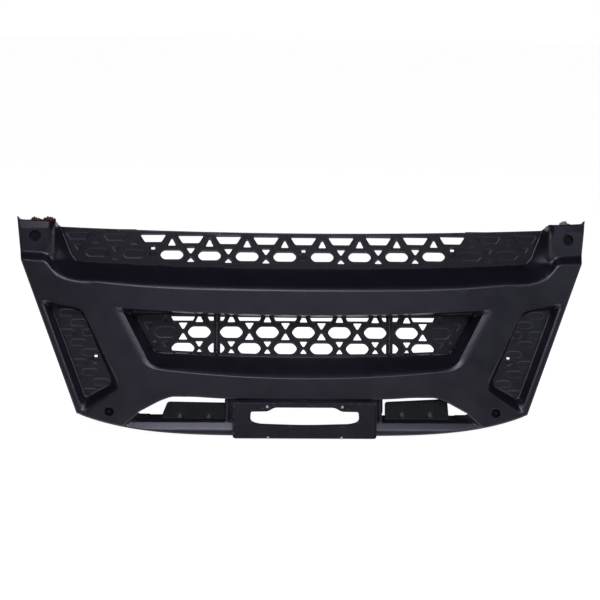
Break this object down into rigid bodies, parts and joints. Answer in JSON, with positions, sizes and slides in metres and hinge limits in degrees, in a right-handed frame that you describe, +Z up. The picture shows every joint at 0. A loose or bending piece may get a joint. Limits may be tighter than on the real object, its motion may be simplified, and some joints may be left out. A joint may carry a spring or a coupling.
{
  "type": "truck front grille",
  "caption": "Bowed, leaning front grille of a cab-over truck, with honeycomb mesh inserts, side recesses, step openings and a plate bracket, hung on two top hinges.",
  "frame": {"origin": "on the cab's face, midway between the two hinge bases, at the height of the hinge axis; also the centre of the four hinge bolts", "axes": "+Z up, the front of the grille faces -Y, +X to the right of someone who looks at the front along +Y; left and right in node names are that viewer's"},
  "size_m": [2.0888, 0.4149, 0.7685],
  "materials": {
    "moulded_plastic": "satin black, fine grain",
    "insert_plastic": "satin black",
    "step_plate_paint": "dark green-black",
    "zinc_steel": "zinc plated",
    "carrier_paint": "black electrocoat",
    "brown_foam": "open-cell foam",
    "buffer_rubber": "matt",
    "bush_plastic": "natural nylon"
  },
  "bodies": {
    "cab_side": {"hinge_base_left": "carrier_paint", "hinge_base_right": "carrier_paint", "hinge_pins": "zinc_steel"},
    "panel": {"main_panel": "moulded_plastic", "upper_mesh": "insert_plastic", "lower_mesh_left": "insert_plastic", "lower_mesh_centre": "insert_plastic", "lower_mesh_right": "insert_plastic", "side_insert_left": "insert_plastic", "side_insert_right": "insert_plastic", "plate_bracket": "moulded_plastic", "plate_screws": "zinc_steel", "step_plate_left": "step_plate_paint", "step_plate_right": "step_plate_paint", "step_plate_rivets": "zinc_steel", "upper_mesh_screws": "zinc_steel", "lower_mesh_screws": "zinc_steel", "side_insert_screws": "zinc_steel", "carrier_bolts": "zinc_steel", "foam_pad_left": "brown_foam", "foam_pad_right": "brown_foam", "upper_rail": "carrier_paint", "lower_rail": "carrier_paint", "rail_brackets": "carrier_paint", "hinge_arm_left": "carrier_paint", "hinge_arm_right": "carrier_paint", "corner_outrigger_left": "carrier_paint", "corner_outrigger_right": "carrier_paint", "rail_bolts": "zinc_steel", "hinge_bushes": "bush_plastic", "latch_strikers": "zinc_steel", "rubber_buffers": "buffer_rubber"}
  },
  "joints": [
    {"name": "front_panel_hinge", "type": "hinge", "parent": "cab_side", "child": "panel", "pos_m": [0, -0.055, 0], "axis": [-1, 0, 0], "range_deg": [0, 60]}
  ]
}
